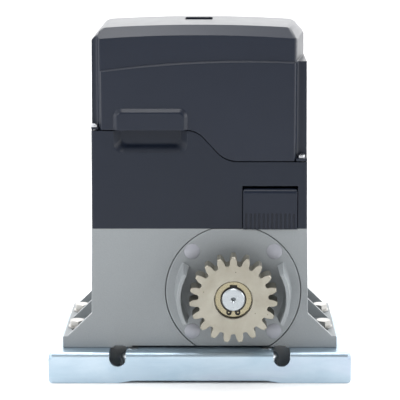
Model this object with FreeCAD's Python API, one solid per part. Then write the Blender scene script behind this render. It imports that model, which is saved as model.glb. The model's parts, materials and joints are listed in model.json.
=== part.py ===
# Sliding gate motor: a worm-geared operator on a folded foundation plate.
# Frame: X to the right, Y towards the back, Z up, millimetres.
# Origin: on the slab, under the centre of the machine's overall box.
# The pinion side (the gate side) is the front, at -Y.
import FreeCAD, Part
import math
import os

from FreeCAD import Vector as V

os.makedirs("parts", exist_ok=True)

# ------------------------------------------------------------------ driving dimensions
FY = -46.5            # plane of the casting's front face
DEPTH = 122.0         # depth of the casting and the housings
RY = FY + DEPTH       # plane of the back face
PLATE_X = 144.5       # half width of the foundation plate
PLATE_Y0, PLATE_Y1 = -63.5, 79.5
PLATE_Z = 35.4        # top of the foundation plate
RIM = 5.4             # level of the plate's rim, which stands on the slab; heights in this file count from 5.4 mm below it
PLATE_T = 3.0         # sheet thickness
FOOT_X = 131.7        # half width over the feet
FOOT_Z = 47.0         # top of the feet
UNDER = PLATE_Z + 2.1 # underside of the casting between the feet
CAST_Z = 153.0        # top flange of the casting
BODY_X0 = 102.3       # half width of the body at the flange
GX, GZ = 32.0, 91.5   # output shaft axis (along Y)
DISC_R = 64.4         # gearbox cover radius
MODULE, TEETH, FACE_W = 4.0, 19, 20.0
PIN_Y0 = FY - 33.0    # front face of the pinion
PIN_Y1 = PIN_Y0 + FACE_W
SHAFT_R = 11.0
WORM_STEP = 60.0      # centre distance worm to wheel
WX, WY = GX - WORM_STEP, FY + 61.0   # worm and motor axis (along Z)
WHEEL_Z, WORM_M = 30, 3.0            # worm wheel teeth and axial module
WHEEL_W = 22.0
PART_L, PART_R = 247.3, 217.6        # heights of the cover's parting line, left and right
TOP_MID, TOP_END = 345.0, 342.2      # roof height at the middle and at its ends
WALL = 2.8            # moulded wall thickness
GAP = 0.5             # half the joint gap between cover and lower housing
SCREW_L = (-98.3, FY + 5.6)          # cover screws
SCREW_R = (96.0, FY + 5.6)
BOLT_X, BOLT_Y = 120.5, (FY + 33.0, FY + 93.0)   # foot bolts
ANCHOR_X, ANCHOR_Y = 88.0, (FY + 31.5, FY + 99.5) # foundation bolt holes
FOOT_R = 11.8                                                      # levelling feet
LEVEL_X, LEVEL_Y = 64.6, (PLATE_Y0 + 15.3, PLATE_Y1 - 15.3)
CABLE = (-65.0, 36.0, 16.0)          # cable hole x, y, radius
KNOB_X, KNOB_Z = 67.0, 171.5         # release knob axis (along Y)
CLUTCH_TRAVEL = 5.0


# ------------------------------------------------------------------ helpers
def box(x0, x1, y0, y1, z0, z1):
    return Part.makeBox(x1 - x0, y1 - y0, z1 - z0, V(x0, y0, z0))


def cx(y, z, r, x0, x1):
    return Part.makeCylinder(r, x1 - x0, V(x0, y, z), V(1, 0, 0))


def cy(x, z, r, y0, y1):
    return Part.makeCylinder(r, y1 - y0, V(x, y0, z), V(0, 1, 0))


def cz(x, y, r, z0, z1):
    return Part.makeCylinder(r, z1 - z0, V(x, y, z0), V(0, 0, 1))


def wire2(pts, put):
    """Closed wire through (u, v) or (u, v, r) points, corners rounded by r; put maps (u, v) to 3-D."""
    n = len(pts)
    P = [(p[0], p[1], p[2] if len(p) > 2 else 0.0) for p in pts]
    ins, outs, mids = [], [], []
    for i in range(n):
        a, b, c = P[i - 1], P[i], P[(i + 1) % n]
        if b[2] <= 0:
            ins.append((b[0], b[1])); outs.append((b[0], b[1])); mids.append(None)
            continue
        u1 = (a[0] - b[0], a[1] - b[1]); u2 = (c[0] - b[0], c[1] - b[1])
        l1 = math.hypot(*u1); l2 = math.hypot(*u2)
        u1 = (u1[0] / l1, u1[1] / l1); u2 = (u2[0] / l2, u2[1] / l2)
        dot = max(-1, min(1, u1[0] * u2[0] + u1[1] * u2[1]))
        ang = math.acos(dot)
        t = b[2] / math.tan(ang / 2)
        pin = (b[0] + u1[0] * t, b[1] + u1[1] * t)
        pout = (b[0] + u2[0] * t, b[1] + u2[1] * t)
        bx, by = u1[0] + u2[0], u1[1] + u2[1]
        bl = math.hypot(bx, by)
        h = b[2] / math.sin(ang / 2)
        ctr = (b[0] + bx / bl * h, b[1] + by / bl * h)
        mid = (ctr[0] - bx / bl * b[2], ctr[1] - by / bl * b[2])
        ins.append(pin); outs.append(pout); mids.append(mid)
    edges = []
    for i in range(n):
        if mids[i] is not None:
            edges.append(Part.Arc(put(*ins[i]), put(*mids[i]), put(*outs[i])).toShape())
        j = (i + 1) % n
        if math.hypot(outs[i][0] - ins[j][0], outs[i][1] - ins[j][1]) > 1e-6:
            edges.append(Part.LineSegment(put(*outs[i]), put(*ins[j])).toShape())
    return Part.Wire(edges)


def pxz(pts, y0, y1):
    w = wire2(pts, lambda u, v: V(u, y0, v))
    return Part.Face(w).extrude(V(0, y1 - y0, 0))


def pxy(pts, z0, z1):
    w = wire2(pts, lambda u, v: V(u, v, z0))
    return Part.Face(w).extrude(V(0, 0, z1 - z0))


def pyz(pts, x0, x1):
    w = wire2(pts, lambda u, v: V(x0, u, v))
    return Part.Face(w).extrude(V(x1 - x0, 0, 0))


def rect(x0, x1, z0, z1, r=0.0):
    return [(x0, z0, r), (x1, z0, r), (x1, z1, r), (x0, z1, r)]


def fuse(items):
    a = items[0]
    if len(items) > 1:
        a = a.multiFuse(items[1:])
    return a


def cut(a, items):
    return a.cut(items if isinstance(items, list) else [items])


def ring(fn, *a, r_in):
    """Tube: fn(c1, c2, R, lo, hi) minus the same with r_in."""
    c1, c2, R, lo, hi = a
    return fn(c1, c2, R, lo, hi).cut(fn(c1, c2, r_in, lo - 1, hi + 1))


def fillet_where(shape, r, test, what=""):
    """Fillet the edges that test() picks, all together or else one by one."""
    picked = [e for e in shape.Edges if test(e)]
    if not picked:
        return shape
    try:
        s = shape.makeFillet(r, picked)
        if s.isValid() and s.Volume > 0:
            return s
    except Exception:
        pass
    for e in picked:
        keep = [x for x in shape.Edges if x.isSame(e) or
                (x.CenterOfMass.distanceToPoint(e.CenterOfMass) < 1e-4 and abs(x.Length - e.Length) < 1e-3)]
        if not keep:
            continue
        try:
            s = shape.makeFillet(r, keep[:1])
            if s.isValid() and s.Volume > 0:
                shape = s
        except Exception:
            pass
    return shape


def is_line(e):
    return e.Curve.TypeId == "Part::GeomLine"


def edge_dir(e):
    a, b = e.Vertexes[0].Point, e.Vertexes[-1].Point
    d = b - a
    return d.normalize() if d.Length > 1e-9 else V(0, 0, 0)


def hexa_z(x, y, af, z0, z1, turn=0.0):
    R = af / math.sqrt(3)
    pts = [(x + R * math.cos(math.radians(60 * k + turn)), y + R * math.sin(math.radians(60 * k + turn))) for k in range(6)]
    return pxy(pts, z0, z1)


def hexa_y(x, z, af, y0, y1, turn=0.0):
    R = af / math.sqrt(3)
    pts = [(x + R * math.cos(math.radians(60 * k + turn)), z + R * math.sin(math.radians(60 * k + turn))) for k in range(6)]
    return pxz(pts, y0, y1)


NODES = {}


def put(name, shape):
    shape = shape.copy()
    shape.translate(V(0, 0, -RIM))                                  # heights count from the rim in the handed-over frame
    solids = shape.Solids
    assert solids, name + " has no solid"
    out = Part.makeCompound(solids) if len(solids) > 1 else solids[0]
    assert out.isValid(), name + " isn't valid"
    NODES[name] = out
    out.exportStep("parts/%s.step" % name)
    print("%-26s solids %2d  volume %10.1f" % (name, len(solids), sum(s.Volume for s in solids)))


# ------------------------------------------------------------------ foundation plate
# A galvanised sheet folded down on all four sides, standing on its rim.
def rounded_pan(x, y0, y1, z1, r):
    b = box(-x, x, y0, y1, -1, z1)
    top = [e for e in b.Edges if abs(e.CenterOfMass.z - z1) < 1e-6]
    return b.makeFillet(r, top)


outer = rounded_pan(PLATE_X, PLATE_Y0, PLATE_Y1, PLATE_Z, 4.5)
inner = rounded_pan(PLATE_X - PLATE_T, PLATE_Y0 + PLATE_T, PLATE_Y1 - PLATE_T, PLATE_Z - PLATE_T, 1.5)
plate = outer.cut(inner).cut(box(-200, 200, -100, 200, -5, RIM))
cuts = []
for sx in (-1, 1):
    for yy in (PLATE_Y0, PLATE_Y1):
        cuts.append(cz(sx * PLATE_X, yy, 3.0, PLATE_Z - 6.0, 45))            # fold reliefs at the corners
for x in (-78.4, 78.4):                                             # U notches in the front and rear flanges
    for y0, y1 in ((PLATE_Y0 - 2, PLATE_Y0 + 36.5), (PLATE_Y1 - 27.0, PLATE_Y1 + 2)):
        cuts.append(pxz([(x - 7.95, PLATE_Z - 13.8, 7.85), (x + 7.95, PLATE_Z - 13.8, 7.85), (x + 7.95, 40), (x - 7.95, 40)], y0, y1))
# the rim is relieved between its corner feet
cuts.append(pxz([(-90, RIM - 2), (90, RIM - 2), (90, RIM + 0.01), (77, RIM + 0.01, 16), (64, RIM + 2.4, 16), (-64, RIM + 2.4, 16), (-77, RIM + 0.01, 16), (-90, RIM + 0.01)], PLATE_Y0 - 2, PLATE_Y1 + 2))
cuts.append(pyz([(PLATE_Y0 + 20, RIM - 2), (PLATE_Y1 - 20, RIM - 2), (PLATE_Y1 - 20, RIM + 0.01), (PLATE_Y1 - 26, RIM + 0.01, 12), (PLATE_Y1 - 37, RIM + 2.4, 12), (PLATE_Y0 + 37, RIM + 2.4, 12), (PLATE_Y0 + 26, RIM + 0.01, 12), (PLATE_Y0 + 20, RIM + 0.01)], -PLATE_X - 2, PLATE_X + 2))
for sx in (-1, 1):                                                  # rounded lower corners of the flanges
    cuts.append(pxz([(sx * 150, RIM - 3), (sx * 150, RIM + 3.2), (sx * (PLATE_X + 0.01), RIM + 3.2), (sx * (PLATE_X - 0.94), RIM + 0.94), (sx * (PLATE_X - 3.2), RIM - 0.01), (sx * (PLATE_X - 3.2), RIM - 3)], PLATE_Y0 - 2, PLATE_Y1 + 2))
for sx in (-1, 1):
    for y in ANCHOR_Y:
        cuts.append(cz(sx * ANCHOR_X, y, 6.0, 20, 40))
    for y in BOLT_Y:
        cuts.append(cz(sx * BOLT_X, y, 4.25, 20, 40))
    for y in LEVEL_Y:
        cuts.append(cz(sx * LEVEL_X, y, 5.1, 20, 40))
cuts.append(cz(CABLE[0], CABLE[1], CABLE[2], 20, 40))
plate = cut(plate, cuts)
put("foundation_plate", plate)

# levelling feet: domed steel feet under the sheet on M10 studs with a nut on top
feet, studs = [], []
for sx in (-1, 1):
    for y in LEVEL_Y:
        x = sx * LEVEL_X
        zt = PLATE_Z - PLATE_T - 0.1
        f = cz(x, y, FOOT_R, RIM, zt)
        f = f.makeFillet(6.2, [e for e in f.Edges if abs(e.CenterOfMass.z - zt) < 1e-6 and e.Length > 10])
        f = f.makeChamfer(1.0, [e for e in f.Edges if abs(e.CenterOfMass.z - RIM) < 1e-6 and e.Length > 30])
        feet.append(f.cut(cz(x, y, 5.0, RIM + 8, 35)))
        s = cz(x, y, 4.95, RIM + 8.5, PLATE_Z + 0.7).cut(hexa_z(x, y, 4.0, PLATE_Z - 1.6, 40))
        studs.append(s)
put("levelling_feet", Part.makeCompound(feet))
put("levelling_studs", Part.makeCompound(studs))

# ------------------------------------------------------------------ gearcase casting
half = [(BODY_X0, CAST_Z), (103.8, 69.6), (127.3, 47.0), (FOOT_X, 47.0), (FOOT_X, PLATE_Z)]
prof = [(x, z) for x, z in half] + [(-x, z) for x, z in reversed(half)]
case = pxz([(p[0], p[1], 1.5 if abs(abs(p[0]) - 103.8) < 0.01 or (abs(abs(p[0]) - FOOT_X) < .01 and p[1] > 40) else 0) for p in prof], FY, RY)
cuts = []
for s in (-1, 1):
    for a, b in ((5, 66), (71, 117)):                               # open pockets between the ribs
        w = [(s * 103.0, 200), (s * 104.0, FOOT_Z, 3.0), (s * 140, FOOT_Z), (s * 140, 200)]
        cuts.append(pxz(w, FY + a, FY + b))
    for y in BOLT_Y:                                                # adjusting slots in the feet
        cuts.append(pxy([(s * BOLT_X - 4.5, y - 13, 4.45), (s * BOLT_X + 4.5, y - 13, 4.45),
                         (s * BOLT_X + 4.5, y + 13, 4.45), (s * BOLT_X - 4.5, y + 13, 4.45)], 20, 60))
    cuts.append(box(min(s * 108, s * 127), max(s * 108, s * 127), FY + 46, FY + 62, 20, 42))  # cored foot
case = cut(case, cuts)
# underside raised between the feet, with a rounded clearance at each plate notch
case = cut(case, [box(-83, 83, FY - 1, RY + 1, 20, PLATE_Z + 1.1), box(-65.5, 65.5, FY - 1, RY + 1, 20, UNDER)] +
           [pxz([(s * 77.6 - 5.2, 30), (s * 77.6 + 5.2, 30), (s * 77.6 + 5.2, UNDER + 0.3, 1.2), (s * 77.6 - 5.2, UNDER + 0.3, 1.2)], FY - 1, FY + 7) for s in (-1, 1)])
# hollow inside, open underneath
cavity = pxz([(-97.8, 30), (97.8, 30), (97.2, 147.5, 4), (-97.2, 147.5, 4)], FY + 6, RY - 6)
case = case.cut(cavity)
# gear and worm chambers stand inside the hollow
solid = fuse([cy(GX, GZ, 55.0, FY + 4, FY + 100), cy(GX, GZ, 66.2, FY + 4, FY + 24),
              cz(WX, WY, 26.5, UNDER, 150), box(WX, GX, WY - 26, WY + 26, 60, 123),
              cy(GX, GZ, 27.0, FY + 98, RY - 3)])
solid = solid.common(box(-97.9, 97.9, FY + 3, RY - 3, UNDER, 150))
case = case.fuse(solid)
case = cut(case, [cy(GX, GZ, 65.1, FY - 2, FY + 10),                # seat of the gearbox cover
                  cy(GX, GZ, 50.5, FY + 9, FY + 94.5),              # wheel chamber
                  cy(GX, GZ, 24.5, FY + 90, FY + 97.0),             # room for the clutch sleeve
                  cz(WX, WY, 20.5, 52, 160),                        # worm chamber
                  cz(WX, WY, 16.0, 40.5, 60),                       # lower worm bearing seat
                  cy(GX, GZ, 21.0, FY + 96, FY + 112)])             # rear bearing seat
for sx in (-1, 1):
    for sz in (-1, 1):
        case = case.cut(cy(GX + sx * 39.25, GZ + sz * 39.25, 3.0, FY + 8, FY + 22))
case = cut(case, [cz(WX, WY, 23.6, 138.3, 160)])                    # motor spigot
case = cut(case, [pxy([(-92, 22, 6), (-56, 22, 6), (-56, 66, 6), (-92, 66, 6)], 140, 160)])  # cable passage
# slot in the top for the shift fork
case = cut(case, [box(GX - 8.5, GX + 8.5, FY + 81.5, FY + 94.5, 120, 160)])
# threaded holes for the lower housing and the motor
HOUSE_SCREWS = [(-92, FY + 13.5), (-92, RY - 12), (92, RY - 12), (30, RY - 12), (25, FY + 14.5)]
case = cut(case, [cz(x, y, 2.1, 140, 160) for x, y in HOUSE_SCREWS])
MOTOR_SCREWS = [(WX + 40 * math.cos(math.radians(a)), WY + 40 * math.sin(math.radians(a))) for a in (45, 135, 225, 315)]
case = cut(case, [cz(x, y, 2.1, 140, 160) for x, y in MOTOR_SCREWS])
case = fillet_where(case, 0.8, lambda e: is_line(e) and abs(e.CenterOfMass.y - FY) < 1e-4 and
                    (abs(e.CenterOfMass.x) > 100.0) and e.Length > 12 and e.CenterOfMass.z > 34)
put("gearcase", case)

# ------------------------------------------------------------------ gearbox cover with its finger guards
disc = cy(GX, GZ, DISC_R, FY, FY + 9.9)
disc = disc.makeChamfer(0.6, [e for e in disc.Edges if abs(e.CenterOfMass.y - FY) < 1e-6 and e.Length > 100])
disc = disc.common(box(-100, 150, FY - 1, FY + 20, UNDER, CAST_Z - 0.3))
boss = cy(GX, GZ, 30.0, FY + 5, FY + 28)
hub = cy(GX, GZ, 19.5, FY - 3.0, FY + 5)
disc = fuse([disc, boss, hub])


def sector(r0, r1, a0, a1, y):
    p = lambda r, a: V(GX + r * math.cos(math.radians(a)), y, GZ + r * math.sin(math.radians(a)))
    am = (a0 + a1) / 2
    return Part.Wire([Part.Arc(p(r0, a0), p(r0, am), p(r0, a1)).toShape(), Part.LineSegment(p(r0, a1), p(r1, a1)).toShape(),
                      Part.Arc(p(r1, a1), p(r1, am), p(r1, a0)).toShape(), Part.LineSegment(p(r1, a0), p(r0, a0)).toShape()])


for mid in (0, 180):
    g = Part.makeLoft([sector(48.9, 54.9, mid - 31.0, mid + 31.0, FY + 1), sector(49.6, 53.2, mid - 28.0, mid + 28.0, PIN_Y0 + 0.5)], True, True)
    g = fillet_where(g, 1.1, lambda e: abs(e.CenterOfMass.y - PIN_Y0 - 0.5) < 0.2)
    disc = disc.fuse(g)
disc = cut(disc, [cy(GX, GZ, 15.0, FY - 5, FY + 40),               # shaft seal bore
                  cy(GX, GZ, 21.0, FY + 12, FY + 40)])             # front bearing seat
for sx in (-1, 1):
    for sz in (-1, 1):
        x, z = GX + sx * 39.25, GZ + sz * 39.25
        disc = cut(disc, [cy(x, z, 3.3, FY - 1, FY + 12), cy(x, z, 6.4, FY - 1, FY + 6.0)])
disc = fillet_where(disc, 1.5, lambda e: abs(e.CenterOfMass.y - FY) < 0.05 and
                    abs(math.hypot(e.CenterOfMass.x - GX, e.CenterOfMass.z - GZ) - 50) < 8 and e.Length > 25 and not is_line(e))
put("gearbox_cover", disc)

caps, bolts = [], []
for sx in (-1, 1):
    for sz in (-1, 1):
        x, z = GX + sx * 39.25, GZ + sz * 39.25
        dome = Part.makeSphere(18.0, V(x, FY - 1.75 + 18.0, z)).common(cy(x, z, 7.5, FY - 3, FY - 0.02))
        dome = fillet_where(dome, 0.3, lambda e: abs(e.CenterOfMass.y - FY) > 0.1 and e.Length > 40)
        caps.append(fuse([dome, ring(cy, x, z, 6.3, FY - 0.1, FY + 2.2, r_in=5.5)]))
        b = fuse([cy(x, z, 5.2, FY + 2.4, FY + 5.98), cy(x, z, 2.95, FY + 5.9, FY + 21)]).cut(hexa_y(x, z, 4.0, FY + 1, FY + 5.0))
        bolts.append(b)
# the ring of each cap clears its screw head
put("screw_caps", Part.makeCompound(caps))
put("cover_bolts", Part.makeCompound(bolts))
# shaft seal
seal = ring(cy, GX, GZ, 14.98, FY - 2.6, FY + 4.4, r_in=11.05)
seal = seal.cut(ring(cy, GX, GZ, 13.6, FY - 3.0, FY - 0.6, r_in=12.2))
put("shaft_seal", seal)

# ------------------------------------------------------------------ output shaft group
def involute_wire(m, z, y, r_tip, r_root, back=0.0, shift_deg=0.0, pa=20.0):
    rp = m * z / 2.0
    rb = rp * math.cos(math.radians(pa))
    inv = lambda a: math.tan(a) - a
    half_t = math.pi / (2 * z) - back / (2 * rp)
    def ang_at(r):
        if r <= rb:
            return half_t + inv(math.radians(pa))
        a = math.acos(rb / r)
        return half_t + inv(math.radians(pa)) - inv(a)
    P = lambda r, t: V(GX + r * math.sin(t), y, GZ + r * math.cos(t))
    edges = []
    rb0 = rb + 0.15
    rs = [rb0 + (r_tip - 0.35 - rb0) * k / 5.0 for k in range(6)]
    pitch = 2 * math.pi / z
    rf = 2.05                                    # root fillet radius
    for i in range(z):
        c = i * pitch + math.radians(shift_deg)
        nc = c + pitch
        left = [P(r, c - ang_at(r)) for r in rs]
        right = [P(r, c + ang_at(r)) for r in reversed(rs)]
        b = Part.BSplineCurve(); b.interpolate(left); edges.append(b.toShape())
        ta = ang_at(r_tip - 0.35)
        tl, tr = P(r_tip, c - ta * 0.88), P(r_tip, c + ta * 0.88)
        edges.append(Part.Arc(left[-1], P(r_tip - 0.07, c - ta * 0.975), tl).toShape())
        edges.append(Part.Arc(tl, P(r_tip, c), tr).toShape())
        edges.append(Part.Arc(tr, P(r_tip - 0.07, c + ta * 0.975), right[0]).toShape())
        b = Part.BSplineCurve(); b.interpolate(right); edges.append(b.toShape())
        # one smooth U from this flank to the next one's
        a0 = ang_at(rs[0])
        gap = pitch - 2 * a0
        p0, p4 = P(rs[0], c + a0), P(rs[0], nc - a0)
        p1, p3 = P(r_root + 0.75, c + a0 + gap * 0.10), P(r_root + 0.75, nc - a0 - gap * 0.10)
        p2a, p2b = P(r_root, c + a0 + gap * 0.36), P(r_root, nc - a0 - gap * 0.36)
        t0, t4 = (p0 - P(rs[1], c + ang_at(rs[1]))), (P(rs[1], nc - ang_at(rs[1])) - p4)
        u = Part.BSplineCurve()
        u.interpolate(Points=[p0, p1, p2a, P(r_root - 0.05, c + pitch / 2), p2b, p3, p4], InitialTangent=t0, FinalTangent=t4)
        edges.append(u.toShape())
    return Part.Wire(edges)


w = involute_wire(MODULE, TEETH, PIN_Y0, 41.6, 32.9, back=0.25)
pinion = Part.Face(w).extrude(V(0, FACE_W, 0))
turn = Part.makeCone(40.6, 41.9, 1.2, V(GX, PIN_Y0, GZ), V(0, 1, 0)).fuse(
    [Part.makeCylinder(41.9, FACE_W - 2.4, V(GX, PIN_Y0 + 1.2, GZ), V(0, 1, 0)),
     Part.makeCone(41.9, 40.6, 1.2, V(GX, PIN_Y1 - 1.2, GZ), V(0, 1, 0))])
pinion = pinion.common(turn)
pinion = pinion.fuse(cy(GX, GZ, 17.0, PIN_Y1 - 1, FY - 3.6))       # rear hub, against the spacer face
pinion = cut(pinion, [cy(GX, GZ, SHAFT_R + 0.02, PIN_Y0 - 1, FY),
                      cy(GX, GZ, 18.1, PIN_Y0 - 1, PIN_Y0 + 5.5),   # recess for the washer and circlip
                      box(GX - 3.02, GX + 3.02, PIN_Y0 - 1, FY, GZ + 5, GZ + 13.8)])
pinion = fillet_where(pinion, 0.5, lambda e: abs(e.CenterOfMass.y - PIN_Y0) < 1e-4 and abs(e.Length - 2 * math.pi * 18.1) < 1)
put("pinion", pinion)

shaft = cy(GX, GZ, SHAFT_R, PIN_Y0 + 0.3, FY + 12)
shaft = shaft.makeChamfer(1.0, [e for e in shaft.Edges if abs(e.CenterOfMass.y - PIN_Y0 - 0.3) < 1e-6])
shaft = fuse([shaft, cy(GX, GZ, 12.5, FY + 12, FY + 109), cy(GX, GZ, 14.5, FY + 27.3, FY + 30)])
shaft = cut(shaft, [ring(cy, GX, GZ, 12, PIN_Y0 + 2.0, PIN_Y0 + 3.4, r_in=10.4),
                    Part.makeCone(2.9, 0.2, 2.6, V(GX, PIN_Y0 + 0.29, GZ), V(0, 1, 0)),
                    box(GX - 3, GX + 3, PIN_Y0 + 6.5, FY - 6, GZ + 7.5, GZ + 14),
                    box(GX - 4, GX + 4, FY + 76, FY + 96.5, GZ + 8.5, GZ + 14),
                    box(GX - 4, GX + 4, FY + 76, FY + 96.5, GZ - 14, GZ - 8.5)])
put("output_shaft", shaft)
put("pinion_key", box(GX - 2.98, GX + 2.98, PIN_Y0 + 6.6, FY - 6.1, GZ + 7.52, GZ + 13.6))
keys = [box(GX - 3.98, GX + 3.98, FY + 76.1, FY + 96.4, GZ + 8.52, GZ + 15.3),
        box(GX - 3.98, GX + 3.98, FY + 76.1, FY + 96.4, GZ - 15.3, GZ - 8.52)]
put("clutch_keys", Part.makeCompound(keys))
washer = ring(cy, GX, GZ, 17.3, PIN_Y0 + 3.5, PIN_Y0 + 5.45, r_in=11.25)
washer = washer.makeFillet(0.5, [e for e in washer.Edges if abs(e.CenterOfMass.y - PIN_Y0 - 3.5) < 1e-6 and e.Length > 90])
put("pinion_washer", washer)
# circlip, lugs at the bottom
clip = ring(cy, GX, GZ, 12.2, PIN_Y0 + 2.08, PIN_Y0 + 3.32, r_in=10.45)
lug = lambda a: cy(GX + 13.3 * math.cos(math.radians(a)), GZ + 13.3 * math.sin(math.radians(a)), 2.5, PIN_Y0 + 2.08, PIN_Y0 + 3.32)
clip = fuse([clip, lug(-72), lug(-108), box(GX - 3.4, GX + 3.4, PIN_Y0 + 2.08, PIN_Y0 + 3.32, GZ + 10, GZ + 13.6)])
clip = cut(clip, [cy(GX, GZ, 10.45, PIN_Y0, PIN_Y0 + 5), box(GX - 1.3, GX + 1.3, PIN_Y0, PIN_Y0 + 5, GZ - 17, GZ - 8)] +
           [cy(GX + 13.5 * math.cos(math.radians(a)), GZ + 13.5 * math.sin(math.radians(a)), 1.0, PIN_Y0, PIN_Y0 + 5) for a in (-71, -109)])
put("pinion_circlip", clip)


# ball bearings: outer race, inner race, balls with cage
def races(fn, a, b, R, r, lo, hi):
    t = (R - r)
    mid = (R + r) / 2
    w = hi - lo
    ball = t * 0.30
    c = (lo + hi) / 2
    o = ring(fn, a, b, R, lo, hi, r_in=mid + t * 0.19)
    i = ring(fn, a, b, mid - t * 0.19, lo, hi, r_in=r)
    if fn is cy:
        centre, axis = V(a, c, b), V(0, 1, 0)
    else:
        centre, axis = V(a, b, c), V(0, 0, 1)
    groove = Part.makeTorus(mid, ball + 0.12, centre, axis)
    return o.cut(groove), i.cut(groove), ball, mid, centre


def balls(fn, ball, mid, c, n):
    out = []
    for k in range(n):
        t = 2 * math.pi * k / n
        off = V(mid * math.cos(t), 0, mid * math.sin(t)) if fn is cy else V(mid * math.cos(t), mid * math.sin(t), 0)
        out.append(Part.makeSphere(ball, c + off))
    return out


o1, i1, b1, m1, c1 = races(cy, GX, GZ, 20.96, 12.52, FY + 12.2, FY + 24.2)
o2, i2, b2, m2, c2 = races(cy, GX, GZ, 20.96, 12.52, FY + 97.1, FY + 109.0)
put("shaft_bearing_outer_races", Part.makeCompound([o1, o2]))
put("shaft_bearing_inner_races", Part.makeCompound([i1, i2]))
put("shaft_bearing_balls", Part.makeCompound(balls(cy, b1, m1, c1, 10) + balls(cy, b2, m2, c2, 10)))

# ------------------------------------------------------------------ worm wheel and clutch
rp_w = WORM_M * WHEEL_Z / 2.0
lead = math.pi * WORM_M


def wheel_wire(y, r_tip, r_root, turn):
    """Wheel tooth outline, one tooth centred on -X, turned about +Y by turn radians."""
    pitch = 2 * math.pi / WHEEL_Z
    half_p = (math.pi * WORM_M / 2 - 0.85) / 2 / rp_w
    pts = []
    slope = math.tan(math.radians(20.0))
    for i in range(WHEEL_Z):
        c = i * pitch
        prof = []
        for r in (r_root, (r_root + rp_w) / 2, rp_w, (rp_w + r_tip) / 2, r_tip):
            h = half_p * rp_w - (r - rp_w) * slope * (1.0 + 0.12 * (r - rp_w) / WORM_M)
            prof.append((r, h / r))
        for r, h in prof:
            pts.append((r, c - h))
        for r, h in reversed(prof):
            pts.append((r, c + h))
    res = []
    for r, t in pts:
        # t measured from -X towards +Z; a positive turn about +Y carries -X towards +Z
        a = t + turn
        res.append(V(GX - r * math.cos(a), y, GZ + r * math.sin(a)))
    return Part.makePolygon(res + [res[0]])


twist = math.atan(lead / (math.pi * 30.0)) * (WHEEL_W / 2) / rp_w
wheel = Part.makeLoft([wheel_wire(WY - WHEEL_W / 2, 47.4, 41.2, -twist), wheel_wire(WY + WHEEL_W / 2, 47.4, 41.2, twist)], True, True)
wheel = cut(wheel, [cy(GX, GZ, 34.0, WY - 30, WY + 30)])
put("worm_wheel_rim", wheel)
hubw = fuse([ring(cy, GX, GZ, 34.0, WY - WHEEL_W / 2, WY + WHEEL_W / 2, r_in=28.0), cy(GX, GZ, 29.0, WY - 5, WY + 5),
             cy(GX, GZ, 22.0, FY + 44, FY + 75.0)])
hubw = hubw.cut(cy(GX, GZ, 15.0, FY + 30, FY + 90))
dogs = []
for k in range(4):
    d = pxz([(17.2, -4.6), (21.9, -5.8), (21.9, 5.8), (17.2, 4.6)], FY + 74.9, FY + 79.0)
    d.rotate(V(0, 0, 0), V(0, 1, 0), 45 + 90 * k)
    d.translate(V(GX, 0, GZ))
    dogs.append(d)
hubw = hubw.fuse(dogs)
put("worm_wheel_hub", hubw)
put("wheel_bush", ring(cy, GX, GZ, 14.98, FY + 44.2, FY + 74.8, r_in=12.55))
# spacers either side of the wheel
put("shaft_spacer", ring(cy, GX, GZ, 16.0, FY + 30.2, FY + 43.8, r_in=12.52))

sleeve = ring(cy, GX, GZ, 22.5, FY + 75.6, FY + 91.2, r_in=12.62)
sleeve = sleeve.cut(ring(cy, GX, GZ, 24, FY + 83.0, FY + 88.4, r_in=18.6))
sleeve = cut(sleeve, [box(GX - 4.1, GX + 4.1, FY + 70, FY + 100, GZ - 15.5, GZ + 15.5),
                      cy(GX, GZ, 16.6, FY + 70, FY + 79.6)])
slots = []
for k in range(4):
    d = pxz([(16.0, -5.6), (23.5, -7.2), (23.5, 7.2), (16.0, 5.6)], FY + 70, FY + 79.6)
    d.rotate(V(0, 0, 0), V(0, 1, 0), 45 + 90 * k)
    d.translate(V(GX, 0, GZ))
    slots.append(d)
sleeve = cut(sleeve, slots)
put("clutch_sleeve", sleeve)

# ------------------------------------------------------------------ worm, rotor and motor
worm_r_root = 11.4
z0 = GZ - 2.5 * lead
helix = Part.makeHelix(lead, 5 * lead, worm_r_root - 1.2)
t_p = (math.pi * WORM_M / 2 - 0.85) / 2
sl = math.tan(math.radians(20.0))
r_t, r_b = 17.4, worm_r_root - 1.2
h_t, h_b = t_p - (r_t - 15) * sl, t_p + (15 - r_b) * sl
prof = Part.makePolygon([V(r_b, 0, -h_b), V(r_t, 0, -h_t), V(r_t, 0, h_t), V(r_b, 0, h_b), V(r_b, 0, -h_b)])
thread = Part.Wire(helix).makePipeShell([prof], True, True)
thread.translate(V(WX, WY, z0))
core = cz(WX, WY, worm_r_root, 58, 126)
worm = core.fuse(thread)
worm = fuse([worm, cz(WX, WY, 8.5, 41, 160), ])
worm = worm.cut(cz(WX, WY, 40, 30, 40.8))
put("worm_shaft", worm)
oL, iL, bL, mL, cL = races(cz, WX, WY, 15.96, 8.52, 41.0, 51.0)
oM, iM, bM, mM, cM = races(cz, WX, WY, 19.98, 8.52, 140.0, 151.9)
oT, iT, bT, mT, cT = races(cz, WX, WY, 15.98, 8.02, 243.0, 252.0)
put("motor_bearing_outer_races", Part.makeCompound([oL, oM, oT]))
put("motor_bearing_inner_races", Part.makeCompound([iL, iM, iT]))
put("motor_bearing_balls", Part.makeCompound(balls(cz, bL, mL, cL, 8) + balls(cz, bM, mM, cM, 8) + balls(cz, bT, mT, cT, 8)))
rotor_shaft = fuse([cz(WX, WY, 9.5, 160.0, 232), cz(WX, WY, 8.0, 232, 268)])
put("rotor_shaft", rotor_shaft)
core_r = ring(cz, WX, WY, 27.0, 168, 226, r_in=9.55)
core_r = fuse([core_r, ring(cz, WX, WY, 25.5, 162.5, 168, r_in=18), ring(cz, WX, WY, 25.5, 226, 231.5, r_in=18)])
put("rotor_core", core_r)
stator = ring(cz, WX, WY, 46.0, 168, 226, r_in=27.6)
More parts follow.
